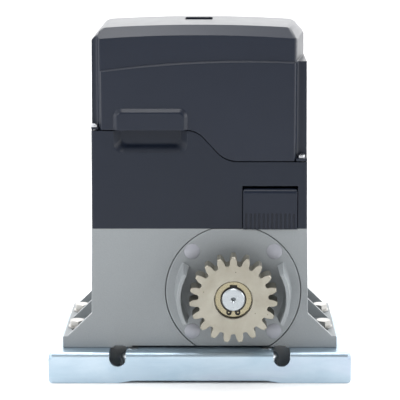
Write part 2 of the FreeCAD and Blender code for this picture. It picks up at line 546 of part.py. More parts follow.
slots = []
for k in range(24):
    a = 2 * math.pi * k / 24
    s = cz(WX + 33.5 * math.cos(a), WY + 33.5 * math.sin(a), 2.6, 160, 240)
    slots.append(s)
stator = cut(stator, slots)
put("stator_core", stator)
wind = []
for z0_, z1_ in ((161.5, 167.9), (226.1, 236.5)):
    t = ring(cz, WX, WY, 41.5, z0_, z1_, r_in=29.0)
    t = fillet_where(t, 3.0, lambda e: not is_line(e))
    wind.append(t)
put("stator_windings", Part.makeCompound(wind))
mh = ring(cz, WX, WY, 48.6, 158.2, 239, r_in=46.1)
fins = []
put("motor_can", mh)
flange = fuse([cz(WX, WY, 48.6, CAST_Z, 158.2), cz(WX, WY, 23.5, 138.5, CAST_Z + 1)])
flange = cut(flange, [cz(WX, WY, 20.02, 130, 152.0), cz(WX, WY, 14.0, 130, 170)])
flange = cut(flange, [cz(x, y, 2.3, 150, 170) for x, y in MOTOR_SCREWS])
flange = flange.cut(ring(cz, WX, WY, 49, 156.6, 160, r_in=46.05).common(cz(WX, WY, 60, 150, 151)))
put("motor_flange", flange)
bell = fuse([cz(WX, WY, 48.6, 239, 244), cz(WX, WY, 22.0, 239, 253.5)])
bell = cut(bell, [cz(WX, WY, 16.02, 242.9, 252.1), cz(WX, WY, 12.0, 230, 260)])
vents = []
for k in range(12):
    a = 30 * k + 15
    if k % 3 == 1:
        continue
    v = pxy([(28, -3.2, 3.1), (42, -3.2, 3.1), (42, 3.2, 3.1), (28, 3.2, 3.1)], 230, 250)
    v.rotate(V(0, 0, 0), V(0, 0, 1), a)
    v.translate(V(WX, WY, 0))
    vents.append(v)
bell = cut(bell, vents)
put("motor_end_bell", bell)
blades = [cz(WX, WY, 13.0, 255.5, 267)]
for k in range(9):
    b = box(11.5, 38, -1.0, 1.0, 256.2, 266)
    b.rotate(V(0, 0, 261), V(1, 0, 0), 28)
    b.rotate(V(0, 0, 0), V(0, 0, 1), 40 * k)
    b.translate(V(WX, WY, 0))
    blades.append(b)
fan = fuse(blades).cut(cz(WX, WY, 8.02, 250, 270))
put("cooling_fan", fan)
ms = []
for x, y in MOTOR_SCREWS:
    ms.append(fuse([cz(x, y, 3.6, 158.25, 161.2), cz(x, y, 2.0, 142, 158.3)]))
put("motor_screws", Part.makeCompound(ms))

# ------------------------------------------------------------------ parting profile between the cover and the lower housing
def parting(dz, up):
    """XZ region above (up) or below the cover's parting line, moved by dz."""
    top = 420 if up else 100
    pts = [(-160, PART_L + dz), (-2.5, PART_L + dz, 22), (24.6, PART_R + dz, 27), (160, PART_R + dz), (160, top), (-160, top)]
    return pts


# ------------------------------------------------------------------ lower housing
def body_x(z):
    """Half width of the moulded body at height z (it narrows upwards)."""
    return BODY_X0 - (z - CAST_Z) * (BODY_X0 - 100.6) / (333 - CAST_Z)


def tapered(z0, z1, inset, y0, y1, r):
    a = [(-body_x(z0) + inset, y0, r), (body_x(z0) - inset, y0, r), (body_x(z0) - inset, y1, r), (-body_x(z0) + inset, y1, r)]
    b = [(-body_x(z1) + inset, y0, r), (body_x(z1) - inset, y0, r), (body_x(z1) - inset, y1, r), (-body_x(z1) + inset, y1, r)]
    return Part.makeLoft([wire2(a, lambda u, v: V(u, v, z0)), wire2(b, lambda u, v: V(u, v, z1))], True, True)


def chan(side, grow, z0, z1):
    """Corner channel beside the cover screw, grown by the wall where it is the inside face."""
    if side < 0:
        xi, R = -94.2 + grow, 5.0
        pts = [(-130, FY - 20), (xi, FY - 20), (xi, FY + 10.5 + grow, R + grow * 0.5), (-130, FY + 10.5 + grow)]
    else:
        xi, R = 90.6 - grow, 5.0
        pts = [(130, FY - 20), (130, FY + 10.5 + grow), (xi, FY + 10.5 + grow, R + grow * 0.5), (xi, FY - 20)]
    return pxy(pts, z0, z1)


low = tapered(CAST_Z, 250, 0, FY, RY, 2.2)
low_in = tapered(CAST_Z - 1, 251, WALL, FY + WALL, RY - WALL, 1.5)
low = low.cut(low_in)
floor = tapered(CAST_Z, 158, 0.5, FY + 0.5, RY - 0.5, 1.8).common(box(-200, 200, -200, 200, CAST_Z, CAST_Z + 3))
floor = floor.cut(pxy(rect(-84, 84, FY + 20, RY - 20, 6), 150, 160))
floor = cut(floor, [cz(WX, WY, 49.2, 150, 165)])
low = low.fuse(floor)
# inner rim that the cover drops over
rim = tapered(CAST_Z + 20, 262, WALL + 0.4, FY + WALL + 2.4, RY - WALL - 0.4, 1.5).cut(
    tapered(CAST_Z + 19, 263, WALL + 2.2, FY + WALL + 4.2, RY - WALL - 2.2, 1.5))
rim = rim.common(pxz(parting(3.6, False), FY - 5, RY + 5)).cut(pxz(parting(-9, False), FY - 5, RY + 5))
rimb = tapered(CAST_Z + 20, 262, WALL - 0.6, FY + WALL - 0.6, RY - WALL + 0.6, 1.5).cut(
    tapered(CAST_Z + 19, 263, WALL + 2.2, FY + WALL + 4.2, RY - WALL - 2.2, 1.5))
rimb = rimb.common(pxz(parting(-3.0, False), FY - 5, RY + 5)).cut(pxz(parting(-9, False), FY - 5, RY + 5))
rim = cut(rim, [chan(-1, WALL + 0.5, 240, 300), chan(1, WALL + 0.5, 205, 300)])
low = fuse([low, rim, rimb])
# screw towers for the cover screws
for (sx_, sy_), zt in ((SCREW_L, PART_L), (SCREW_R, PART_R)):
    t = cz(sx_, sy_ + 0.5, 6.0, zt - 40, zt).fuse(box(min(sx_, sx_ * 1.04), max(sx_, sx_ * 1.04), sy_ - 4, sy_ + 6.5, zt - 40, zt))
    t = t.common(tapered(CAST_Z, 250, 1.0, FY + 1.0, RY, 1.5))
    low = low.fuse(t)
low = low.common(pxz(parting(-GAP, False), FY - 20, RY + 5).fuse(rim.common(box(-200, 200, -200, 200, 200, 300))))
low = cut(low, [cz(SCREW_L[0], SCREW_L[1], 1.7, 215, 260), cz(SCREW_R[0], SCREW_R[1], 1.7, 185, 240)])
# finger recess under the cover's grip
def loft_rect(x0, x1, z0, z1, r0, y0, X0, X1, Z0, Z1, r1, y1):
    return Part.makeLoft([wire2(rect(x0, x1, z0, z1, r0), lambda u, v: V(u, y0, v)), wire2(rect(X0, X1, Z0, Z1, r1), lambda u, v: V(u, y1, v))], True, True)


rec_out = loft_rect(-83.5, -8.0, 222.4, 262, 9, FY + 0.5, -76.5, -15.0, 229.5, 262, 6, FY + 10.4).common(box(-200, 200, FY + 0.5, 200, 200, PART_L - GAP))
rec_in = loft_rect(-81.5, -10.2, 225.2, 268, 9, FY - 1.0, -73.5, -18.0, 233.0, 268, 6, FY + 7.6)
rec_in = fillet_where(rec_in, 2.6, lambda e: abs(e.CenterOfMass.y - (FY + 7.6)) < 1e-3 and e.CenterOfMass.z < 267)
rec_back = box(-70.5, -21.0, FY + 7.6, FY + 10.4, 236, PART_L + 3.6)
low = low.fuse([rec_out, rec_back]).cut(rec_in)
# release compartment: an open-fronted box behind the release door
comp = box(37.6, 96.4, FY + 0.5, FY + 24, CAST_Z, 197)
comp_in = box(40.6, 93.2, FY - 1, FY + 21.2, CAST_Z - 1, 194.2)
low = low.fuse(comp).cut(comp_in)
low = low.cut(pxz([(40.6, 140), (93.2, 140), (93.2, 192.3, 0.8), (40.6, 192.3, 0.8)], FY - 1, FY + 5))
low = cut(low, [cy(KNOB_X, KNOB_Z, 9.1, FY + 18, FY + 30),
                cx(FY + 3.0, 187.1, 1.56, 36.9, 97.2)])
low = cut(low, [cz(x, y, 2.2, 150, 165) for x, y in HOUSE_SCREWS])
# rear tongue slots
for x in (-60, 60):
    zt = PART_L if x < 0 else PART_R
    low = low.cut(box(x - 9.3, x + 9.3, RY - 5.4, RY - WALL + 0.01, zt - 9.5, zt + 12))
low = fillet_where(low, 0.5, lambda e: is_line(e) and abs(e.CenterOfMass.y - FY) < 1e-4 and abs(e.CenterOfMass.z - CAST_Z) < 1e-4 and e.Length > 60)
put("lower_housing", low)
hs = []
for x, y in HOUSE_SCREWS:
    hs.append(fuse([cz(x, y, 3.8, 156.05, 158.8), cz(x, y, 2.0, 143, 156.1)]))
put("housing_screws", Part.makeCompound(hs))

# ------------------------------------------------------------------ top cover
def roof_wire(y, xb, zb, x_side, z_side, x_top, z_end, z_mid, z_right=None):
    """Cross-section outline at depth y: tapered sides, side chamfers and an arched roof."""
    a = [V(-xb, y, zb), V(-x_side, y, z_side), V(-x_top, y, z_end)]
    b = [V(x_top, y, z_end), V(x_side, y, z_side), V(xb, y, zb)]
    edges = [Part.LineSegment(a[0], a[1]).toShape(), Part.LineSegment(a[1], a[2]).toShape(),
             Part.Arc(a[2], V(0, y, z_mid), b[0]).toShape(),
             Part.LineSegment(b[0], b[1]).toShape(), Part.LineSegment(b[1], b[2]).toShape(), Part.LineSegment(b[2], a[0]).toShape()]
    return Part.Wire(edges)


def cap_body(t, y0, y1):
    """Roofed body; t is the inward offset."""
    zb = 205.0
    xb = body_x(zb) - t
    def sec(y, front):
        if front:
            return roof_wire(y, xb, zb, 100.62 - t, 330.2 - t, 96.6 - t, 332.6 - t, 336.4 - t)
        return roof_wire(y, xb, zb, 100.6 - t, 331.6 - t, 91.2 - 0.6 * t, TOP_END - t, TOP_MID - t)
    f = Part.makeLoft([sec(y0, True), sec(y0 + 13.0, False)], True, True)
    m = Part.Face(sec(y0 + 13.0, False)).extrude(V(0, (y1 - 17.0) - (y0 + 13.0), 0))
    r = Part.makeLoft([sec(y1 - 17.0, False), sec(y1, True)], True, True)
    return fuse([f, m, r])


cap = cap_body(0.0, FY + 2.0, RY)
cap_in = cap_body(WALL, FY + 2.0 + WALL, RY - WALL)
# raised front panel under the arch
arch_l, arch_m, arch_r = (-92.8, 303.2), (30.0, 312.4), (101.0, 310.9)


def panel_wire(y, d):
    pts = [V(-92.8 + d, y, 205), V(-92.8 + d, y, arch_l[1] - d)]
    e = [Part.LineSegment(V(-92.8 + d, y, 205), V(-92.8 + d, y, arch_l[1] - d)).toShape(),
         Part.Arc(V(-92.8 + d, y, arch_l[1] - d), V(arch_m[0], y, arch_m[1] - d), V(101.0, y, arch_r[1] - d)).toShape(),
         Part.LineSegment(V(101.0, y, arch_r[1] - d), V(101.0, y, 205)).toShape(),
         Part.LineSegment(V(101.0, y, 205), V(-92.8 + d, y, 205)).toShape()]
    return Part.Wire(e)


panel = fuse([Part.makeLoft([panel_wire(FY + 1.6, -0.2), panel_wire(FY, 1.5)], True, True),
              Part.Face(panel_wire(FY + 1.5, -0.2)).extrude(V(0, 3.0, 0))])
cap = cap.fuse(panel)
# the left flank of the front is a bevel down to the channel
cap = cut(cap, [chan(-1, 0, PART_L + 2.8, 400), chan(1, 0, PART_R + 2.8, 400)])
# right flank of the cap: it tapers inwards towards the front above the shoulder
SH = 311.2
flank = pxy([(90.6, FY - 5), (130, FY - 5), (130, FY + 78.0), (101.2, FY + 78.0), (90.6, FY + 2.0)], SH, 400)
cap = cap.cut(flank)
# chamfer between that flank and the roof
def facet(p0, n, size=260):
    """Half-space block on the +n side of the plane through p0."""
    n = V(*n).normalize()
    b = Part.makeBox(size, size, size, V(-size / 2, -size / 2, 0))
    b.Placement = FreeCAD.Placement(V(*p0), FreeCAD.Rotation(V(0, 0, 1), n))
    return b


import math as _m
fl = _m.atan2(10.6, 76.0)
nf = (_m.cos(fl) * 0.80, -_m.sin(fl) * 0.80, 0.60)
cap = cap.cut(facet((90.6, FY + 2.0, 332.8), nf).common(box(60, 140, FY - 10, FY + 86, SH, 400)))
inner = cut(cap_in, [chan(-1, WALL, 200, 400), chan(1, WALL, 200, 400)])
flank_in = pxy([(90.6 - WALL, FY - 5), (130, FY - 5), (130, FY + 81.0), (101.2 - WALL - 0.3, FY + 81.0), (90.6 - WALL, FY + 2.0)], SH - WALL, 400)
nfi = nf
inner = inner.cut(flank_in)
inner = inner.cut(facet((90.6 - WALL * 1.2, FY + 2.0, 332.8 - WALL * 0.9), nf).common(box(60, 140, FY - 10, FY + 90, SH - WALL, 400)))
# grip: a bevelled boss over the finger recess
grip = loft_rect(-81.0, -10.6, 240, 268.4, 8.5, FY + 0.2, -77.2, -14.6, 240, 264.4, 5.5, FY - 3.2)
grip = fillet_where(grip, 2.6, lambda e: abs(e.CenterOfMass.y - (FY - 3.2)) < 1e-3 and e.CenterOfMass.z > 241)
cap = cap.fuse(grip)
inner = inner.cut(box(-72.5, -19.0, FY, FY + 7.2, 230, 262))          # solid behind the grip
cover = cap.cut(inner)
# channel floors: close the inner cavity above the lower edge
cover = cover.common(pxz(parting(GAP, True), FY - 20, RY + 5))
# solid corner pads under the channel floors
for side, zt in ((-1, PART_L), (1, PART_R)):
    p = chan(side, WALL, zt + GAP, zt + 3.0).common(cap_body(0.0, FY + 2.0, RY).fuse(panel)).common(box(-200, 200, FY, FY + 40, 200, 260))
    cover = cover.fuse(p.cut(chan(side, 0, zt + 2.8, 400)))
cover = cut(cover, [cz(SCREW_L[0], SCREW_L[1], 2.3, 240, 256), cz(SCREW_R[0], SCREW_R[1], 2.3, 210, 226)])
# rear tongues
for x in (-60, 60):
    zt = PART_L if x < 0 else PART_R
    cover = cover.fuse(box(x - 8, x + 8, RY - 5.0, RY - WALL - 0.25, zt - 7.0, zt + 12).fuse(
        box(x - 8, x + 8, RY - 5.0, RY - WALL + 0.6, zt + 4.5, zt + 12)))
# roof pad recess
cover = cover.fuse(box(-17, 15, FY + 63, FY + 95, 340.6, 343.4)).cut(pxy(rect(-14.2, 12.2, FY + 66, FY + 92, 2.2), 342.2, 350))
put("top_cover", cover)
pad = pxy(rect(-13.9, 11.9, FY + 66.3, FY + 91.7, 2.0), 342.22, 343.0)
put("roof_pad", pad)
scr = []
for (x, y), zt in ((SCREW_L, PART_L + 2.8), (SCREW_R, PART_R + 2.8)):
    h = cz(x, y, 3.7, zt + 0.02, zt + 3.2)
    h = h.makeFillet(1.2, [e for e in h.Edges if abs(e.CenterOfMass.z - zt - 3.2) < 1e-6 and e.Length > 10])
    h = h.cut([box(x - 2.3, x + 2.3, y - 0.45, y + 0.45, zt + 1.9, zt + 4), box(x - 0.45, x + 0.45, y - 2.3, y + 2.3, zt + 1.9, zt + 4)])
    scr.append(fuse([h, cz(x, y, 1.65, zt - 16, zt + 0.1)]))
put("cover_screws", Part.makeCompound(scr))

# ------------------------------------------------------------------ release door, knob, cam and fork
DX0, DX1, DZ0, DZ1 = 41.2, 92.6, 153.5, 191.6
door = box(DX0, DX1, FY - 1.5, FY + 1.4, DZ0, 187.1).fuse(cx(FY + 3.0, 187.1, 4.5, DX0, DX1))
door = door.fuse(box(DX0, DX1, FY - 1.5, FY - 0.4, 152.4, DZ0 + 2))
door = door.common(pxz([(DX0, 152.4, 0.6), (DX1, 152.4, 0.6), (DX1, DZ1, 2.8), (DX0, DZ1, 2.8)], FY - 5, FY + 12))
door = fillet_where(door, 0.9, lambda e: is_line(e) and abs(e.CenterOfMass.y - (FY - 1.5)) < 1e-3 and e.Length > 20)
ribs = []
for k in range(12):
    x = 44.4 + k * (89.4 - 44.4) / 11
    ribs.append(pxz([(x - 0.9, 150), (x + 0.9, 150), (x + 0.9, 168, 0.8), (x - 0.9, 168, 0.8)], FY - 3, FY - 0.6))
door = cut(door, ribs)
door = door.fuse([cx(FY + 3.0, 187.1, 1.5, DX0 - 3.0, DX0 + 3), cx(FY + 3.0, 187.1, 1.5, DX1 - 3, DX1 + 3.0)])
put("release_door", door)

knob = fuse([cy(KNOB_X, KNOB_Z, 12.0, FY + 11.6, FY + 17.6), box(KNOB_X - 10.6, KNOB_X + 10.6, FY + 5.0, FY + 12, KNOB_Z - 2.6, KNOB_Z + 2.6)])
knob = knob.common(cy(KNOB_X, KNOB_Z, 11.8, FY + 3, FY + 30))
knob = fillet_where(knob, 0.8, lambda e: is_line(e) and abs(e.CenterOfMass.y - (FY + 5.0)) < 1e-3)
knob = knob.cut(cy(KNOB_X, KNOB_Z, 4.0, FY + 13, FY + 30))
put("release_knob", knob)
spin = fuse([cy(KNOB_X, KNOB_Z, 3.97, FY + 13.1, FY + 19), cy(KNOB_X, KNOB_Z, 9.0, FY + 18.2, FY + 88)])
CAM_Y = FY + 74.0
for k in range(13):
    a = math.radians(-90 + 7.5 * k)
    # groove climbs towards the back as the spindle turns about +Y
    yk = CAM_Y + CLUTCH_TRAVEL * k / 12
    d = V(math.cos(a), 0, math.sin(a))
    spin = spin.cut(Part.makeCylinder(2.5, 8, V(KNOB_X, yk, KNOB_Z) + d * 4.5, d))
put("release_spindle", spin.fuse(cy(KNOB_X, KNOB_Z, 4.5, FY + 87, FY + 99.5)))
# bracket that carries the spindle's back end
br = box(60, 74, FY + 95.0, FY + 98.0, CAST_Z, 180).fuse(box(60, 74, FY + 95, FY + 101, CAST_Z, CAST_Z + 3))
br = cut(br, [cy(KNOB_X, KNOB_Z, 4.6, FY + 80, FY + 110)])
br2 = cut(box(54, 80, FY + 60.0, FY + 63.0, CAST_Z, 185).fuse(box(54, 80, FY + 50, FY + 63, CAST_Z, CAST_Z + 3)), [cy(KNOB_X, KNOB_Z, 9.1, FY + 50, FY + 70)])
put("spindle_brackets", Part.makeCompound([br, br2]))
# fork: two prongs in the sleeve groove, a stem up through the casting, an arm with the cam pin
FT = 5.0
fk_y0, fk_y1 = FY + 83.2, FY + 88.2
yoke = cy(GX, GZ, 28.0, fk_y0, fk_y1).cut(cy(GX, GZ, 18.9, fk_y0 - 1, fk_y1 + 1)).cut(box(-50, 150, fk_y0 - 1, fk_y1 + 1, 0, GZ - 2))
stem = box(GX - 7, GX + 7, fk_y0, fk_y1, GZ + 24, 161.5)
arm = box(GX - 7, KNOB_X + 5, FY + 71.5, fk_y1, 156.4, 161.5)
pin = Part.makeCylinder(2.0, 6.1, V(KNOB_X, CAM_Y, 160.5), V(0, 0, 1))
fork = fuse([yoke, stem, arm, pin])
put("shift_fork", fork)

# ------------------------------------------------------------------ electronics
BX0, BX1 = 18.0, 88.0
carrier = box(BX0, BX1, FY + 30.0, FY + 33.0, 199, 320)
carrier = cut(carrier, [pxz(rect(BX0 + 8, BX1 - 8, 214, 252, 4), FY + 28, FY + 35), pxz(rect(BX0 + 8, BX1 - 8, 266, 310, 4), FY + 28, FY + 35)])
carrier = carrier.fuse([box(77.5, 83.5, FY + 26.5, FY + 33.0, CAST_Z, 203), box(BX0, BX0 + 8, FY + 26.5, FY + 33.0, CAST_Z, 203)])
for x in (BX0 + 3, BX1 - 4):
    for z in (206, 314):
        carrier = carrier.fuse(cy(x, z, 2.8, FY + 25.9, FY + 31))
put("board_carrier", carrier)
pcb = box(BX0, BX1, FY + 24.3, FY + 25.9, 200, 319)
put("control_board", pcb)
ps = []
for x in (BX0 + 3, BX1 - 4):
    for z in (206, 314):
        ps.append(cy(x, z, 2.6, FY + 22.6, FY + 24.3))
put("board_screws", Part.makeCompound(ps))
tb = []
for k in range(3):
    x = 27.0 + 17.6 * k
    b = box(x, x + 16.6, FY + 14.2, FY + 24.3, 202.5, 212)
    for j in range(3):
        b = cut(b, [cz(x + 3.2 + 5.1 * j, FY + 19.5, 1.8, 208.5, 213), box(x + 1.6 + 5.1 * j, x + 4.8 + 5.1 * j, FY + 14, FY + 18, 203.5, 206.6)])
    tb.append(b)
put("terminal_blocks", Part.makeCompound(tb))
put("relays", Part.makeCompound([box(26, 45, FY + 9.5, FY + 24.3, 272, 288), box(26, 45, FY + 9.5, FY + 24.3, 291, 307)]))
comps = [cy(58, 262, 7.5, FY + 8, FY + 24.3), cy(76, 262, 5.0, FY + 10, FY + 24.3), box(52, 66, FY + 18, FY + 24.3, 230, 244),
         box(72, 82, FY + 20.5, FY + 24.3, 226, 236), box(28, 50, FY + 16, FY + 24.3, 222, 228), cy(74, 290, 4.0, FY + 16, FY + 24.3)]
put("board_components", Part.makeCompound(comps))
put("transformer_shelf", box(24, 88, FY + 33.0, FY + 78, 258.5, 261.9))
TX = 56.0
put("transformer_core", box(TX - 26, TX + 26, FY + 38, FY + 72, 261.9, 306).cut(
    [box(TX - 17.5, TX - 9, FY + 37, FY + 73, 270, 298), box(TX + 9, TX + 17.5, FY + 37, FY + 73, 270, 298)]))
put("transformer_coil", fuse([box(TX - 17.4, TX - 9.1, FY + 34.5, FY + 75.5, 270.1, 297.9), box(TX + 9.1, TX + 17.4, FY + 34.5, FY + 75.5, 270.1, 297.9),
                              box(TX - 17.4, TX + 17.4, FY + 34.5, FY + 37.9, 270.1, 297.9), box(TX - 17.4, TX + 17.4, FY + 72.1, FY + 75.5, 270.1, 297.9)]))
CAPX, CAPY = 40.0, FY + 100.5
capc = cz(CAPX, CAPY, 16.0, 170, 240)
capc = fillet_where(capc, 1.5, lambda e: not is_line(e) and abs(e.CenterOfMass.z - 240) < 0.1)
capc = capc.fuse([box(CAPX - 6, CAPX - 3.5, CAPY - 0.5, CAPY + 0.5, 239, 246), box(CAPX + 3.5, CAPX + 6, CAPY - 0.5, CAPY + 0.5, 239, 246)])
put("run_capacitor", capc)
clipc = ring(cz, CAPX, CAPY, 17.6, 190, 204, r_in=16.02).fuse(box(CAPX - 7, CAPX + 7, CAPY + 16.6, RY - WALL - 0.05, 190, 204))
put("capacitor_clip", clipc.cut(cz(CAPX, CAPY, 16.02, 180, 220)))
put("magnetic_sensor", box(-16, 10, FY + WALL + 0.05, FY + 9.0, 176, 216))

# ------------------------------------------------------------------ foot bolts
fb, fw, wn = [], [], []
for sx in (-1, 1):
    for y in BOLT_Y:
        x = sx * BOLT_X
        h = hexa_z(x, y, 13.0, FOOT_Z + 1.8, FOOT_Z + 7.2, 12 + 31 * sx)
        h = h.common(Part.makeCone(8.4, 6.4, 1.2, V(x, y, FOOT_Z + 6.0), V(0, 0, 1)).fuse(cz(x, y, 8.4, FOOT_Z, FOOT_Z + 6.0)))
        fb.append(fuse([h, cz(x, y, 3.98, 20.4, FOOT_Z + 2)]))
        fw.append(cz(x, y, 8.6, FOOT_Z + 0.02, FOOT_Z + 1.78).cut(cz(x, y, 4.3, 40, 60)))
        wn.append(hexa_z(x, y, 13.0, PLATE_Z - 9.8, PLATE_Z - 3.02, 0).cut(cz(x, y, 4.0, 10, 40)))
put("foot_bolts", Part.makeCompound(fb))
put("foot_washers", Part.makeCompound(fw))
put("weld_nuts", Part.makeCompound(wn))
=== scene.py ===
import bpy, bmesh, math, json
from mathutils import Vector, Matrix, Euler


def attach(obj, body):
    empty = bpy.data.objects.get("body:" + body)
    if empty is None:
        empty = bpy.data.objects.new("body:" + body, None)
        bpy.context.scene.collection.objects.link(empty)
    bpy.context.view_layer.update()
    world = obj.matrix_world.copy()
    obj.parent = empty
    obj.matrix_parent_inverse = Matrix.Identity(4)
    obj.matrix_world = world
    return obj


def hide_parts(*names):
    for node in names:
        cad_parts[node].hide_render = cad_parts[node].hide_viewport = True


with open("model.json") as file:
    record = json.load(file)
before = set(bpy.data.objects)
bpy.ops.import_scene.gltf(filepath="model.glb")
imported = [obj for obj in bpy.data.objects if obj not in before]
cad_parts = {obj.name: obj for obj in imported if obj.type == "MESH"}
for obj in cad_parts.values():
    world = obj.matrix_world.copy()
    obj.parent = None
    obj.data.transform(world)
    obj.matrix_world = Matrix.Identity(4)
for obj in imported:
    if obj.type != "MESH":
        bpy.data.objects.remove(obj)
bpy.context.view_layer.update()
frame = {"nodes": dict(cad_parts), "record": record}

SC = bpy.context.scene
NODES = frame["nodes"]


# ------------------------------------------------------------------ node helpers
class Mat:
    """A small builder for procedural node materials."""

    def __init__(self, name):
        self.m = bpy.data.materials.new(name)
        self.m.use_nodes = True
        self.t = self.m.node_tree
        self.t.nodes.clear()
        self.out = self.t.nodes.new("ShaderNodeOutputMaterial")
        self.b = self.t.nodes.new("ShaderNodeBsdfPrincipled")
        self.t.links.new(self.b.outputs[0], self.out.inputs[0])
        self.tc = self.t.nodes.new("ShaderNodeTexCoord")
        self.soft = None

    def rounded(self, radius, samples=6):
        """Softly rolled edges under whatever bump follows."""
        x = self.t.nodes.new("ShaderNodeBevel")
        x.samples = samples
        x.inputs["Radius"].default_value = radius
        self.soft = x.outputs[0]

    def n(self, kind, **kw):
        x = self.t.nodes.new(kind)
        for k, v in kw.items():
            if k.startswith("i_"):
                x.inputs[k[2:].replace("_", " ")].default_value = v
            else:
                setattr(x, k, v)
        return x

    def link(self, a, b):
        self.t.links.new(a, b)
        return b

    def set(self, **kw):
        for k, v in kw.items():
            self.b.inputs[k.replace("_", " ")].default_value = v

    def coords(self, scale=(1, 1, 1), rot=(0, 0, 0)):
        mp = self.n("ShaderNodeMapping")
        mp.inputs["Scale"].default_value = scale
        mp.inputs["Rotation"].default_value = rot
        self.link(self.tc.outputs["Object"], mp.inputs["Vector"])
        return mp.outputs[0]

    def noise(self, vec, scale, detail=2.0, rough=0.5, dist=0.0):
        x = self.n("ShaderNodeTexNoise")
        x.inputs["Scale"].default_value = scale
        x.inputs["Detail"].default_value = detail
        x.inputs["Roughness"].default_value = rough
        x.inputs["Distortion"].default_value = dist
        self.link(vec, x.inputs["Vector"])
        return x.outputs["Fac"]

    def ramp(self, fac, stops, interp="LINEAR"):
        r = self.n("ShaderNodeValToRGB")
        r.color_ramp.interpolation = interp
        els = r.color_ramp.elements
        while len(els) < len(stops):
            els.new(0.5)
        for e, (p, c) in zip(els, stops):
            e.position = p
            e.color = (*c, 1.0) if len(c) == 3 else c
        self.link(fac, r.inputs[0])
        return r.outputs[0]

    def rng(self, fac, a, b, c, d):
        r = self.n("ShaderNodeMapRange")
        for i, v in enumerate((a, b, c, d)):
            r.inputs[i + 1].default_value = v
        self.link(fac, r.inputs[0])
        return r.outputs[0]

    def math(self, op, a, b=None):
        x = self.n("ShaderNodeMath", operation=op)
        for i, v in enumerate((a, b)):
            if v is None:
                continue
            if isinstance(v, (int, float)):
                x.inputs[i].default_value = v
            else:
                self.link(v, x.inputs[i])
        return x.outputs[0]

    def mixc(self, fac, a, b, mode="MIX"):
        x = self.n("ShaderNodeMix", data_type="RGBA", blend_type=mode)
        for s, v in ((x.inputs[0], fac), (x.inputs[6], a), (x.inputs[7], b)):
            if isinstance(v, (int, float)):
                s.default_value = v
            elif isinstance(v, tuple):
                s.default_value = (*v, 1.0) if len(v) == 3 else v
            else:
                self.link(v, s)
        return x.outputs[2]

    def bump(self, height, dist, strength=1.0, after=None):
        x = self.n("ShaderNodeBump")
        x.inputs["Strength"].default_value = strength
        x.inputs["Distance"].default_value = dist
        self.link(height, x.inputs["Height"])
        if after is None:
            after = self.soft
        if after is not None:
            self.link(after, x.inputs["Normal"])
        return x.outputs[0]

    def color(self, c):
        self.link(c, self.b.inputs["Base Color"])

    def rough(self, c):
        self.link(c, self.b.inputs["Roughness"])

    def normal(self, c):
        self.link(c, self.b.inputs["Normal"])

    def edge(self, lo=0.52, hi=0.62):
        """1 along convex edges, from the mesh's pointiness."""
        g = self.n("ShaderNodeNewGeometry")
        return self.rng(g.outputs["Pointiness"], lo, hi, 0.0, 1.0)


def lin(r, g, b):
    f = lambda v: (v / 255 / 12.92) if v / 255 <= 0.04045 else ((v / 255 + 0.055) / 1.055) ** 2.4
    return (f(r), f(g), f(b))


def scale3(c, k):
    return tuple(min(1.0, x * k) for x in c)


def plastic(name, col, rough=0.42, spec=0.4, grain=0.00004, gscale=1400, mottled=0.10, edge=0.0004):
    m = Mat(name)
    m.rounded(edge)
    v = m.coords()
    big = m.noise(v, 14, 3, 0.55)
    fine = m.noise(v, gscale, 2, 0.6)
    dust = m.noise(v, 420, 3, 0.7)
    c = m.mixc(m.rng(big, 0.3, 0.7, 0.0, 1.0), scale3(col, 1 - mottled), scale3(col, 1 + mottled))
    c = m.mixc(m.rng(dust, 0.62, 0.82, 0.0, 0.16), c, scale3(col, 1.6))
    m.color(c)
    m.rough(m.rng(m.noise(v, 60, 3, 0.6), 0.3, 0.7, rough - 0.012, rough + 0.015))
    m.normal(m.bump(fine, grain, 0.6))
    m.set(Specular_IOR_Level=spec)
    return m.m


def paint(name, col, rough=0.5):
    """Powder-like textured paint on a casting."""
    m = Mat(name)
    m.rounded(0.0006)
    v = m.coords()
    sand = m.noise(v, 900, 3, 0.62)
    peel = m.noise(v, 330, 2, 0.5)
    cloud = m.noise(v, 9, 3, 0.5)
    c = m.mixc(m.rng(cloud, 0.3, 0.7, 0.0, 1.0), scale3(col, 0.965), scale3(col, 1.03))
    c = m.mixc(m.rng(sand, 0.35, 0.70, 0.0, 0.42), c, scale3(col, 0.82))
    m.color(c)
    m.rough(m.rng(peel, 0.3, 0.7, rough - 0.05, rough + 0.07))
    h = m.math("ADD", m.math("MULTIPLY", sand, 0.6), m.math("MULTIPLY", peel, 0.5))
    m.normal(m.bump(h, 0.00030, 0.6))
    m.set(Specular_IOR_Level=0.45)
    return m.m


def metal(name, col, rough=0.32, metallic=1.0, brush=None, var=0.08, scratch=0.00002, stain=None, bscale=(40, 40, 2600), edge=0.00025):
    m = Mat(name)
    m.rounded(edge, 4)
    v = m.coords()
    big = m.noise(v, 30, 4, 0.6)
    c = m.mixc(m.rng(big, 0.3, 0.7, 0.0, 1.0), scale3(col, 1 - var), scale3(col, 1 + var))
    if stain:
        c = m.mixc(m.rng(m.noise(v, 120, 4, 0.7), 0.58, 0.78, 0.0, 0.5), c, stain)
    m.color(c)
    line = m.noise(m.coords(bscale), 1.0, 3, 0.6) if brush else m.noise(v, 700, 3, 0.6)
    m.rough(m.rng(line, 0.25, 0.75, rough - 0.07, rough + 0.09))
    m.normal(m.bump(line, scratch, 0.5))
    m.set(Metallic=metallic)
    return m.m


# ------------------------------------------------------------------ colours
SLATE = lin(24, 31, 45)
SLATE_LOW = lin(23, 30, 43)
CAST = lin(142, 147, 150)

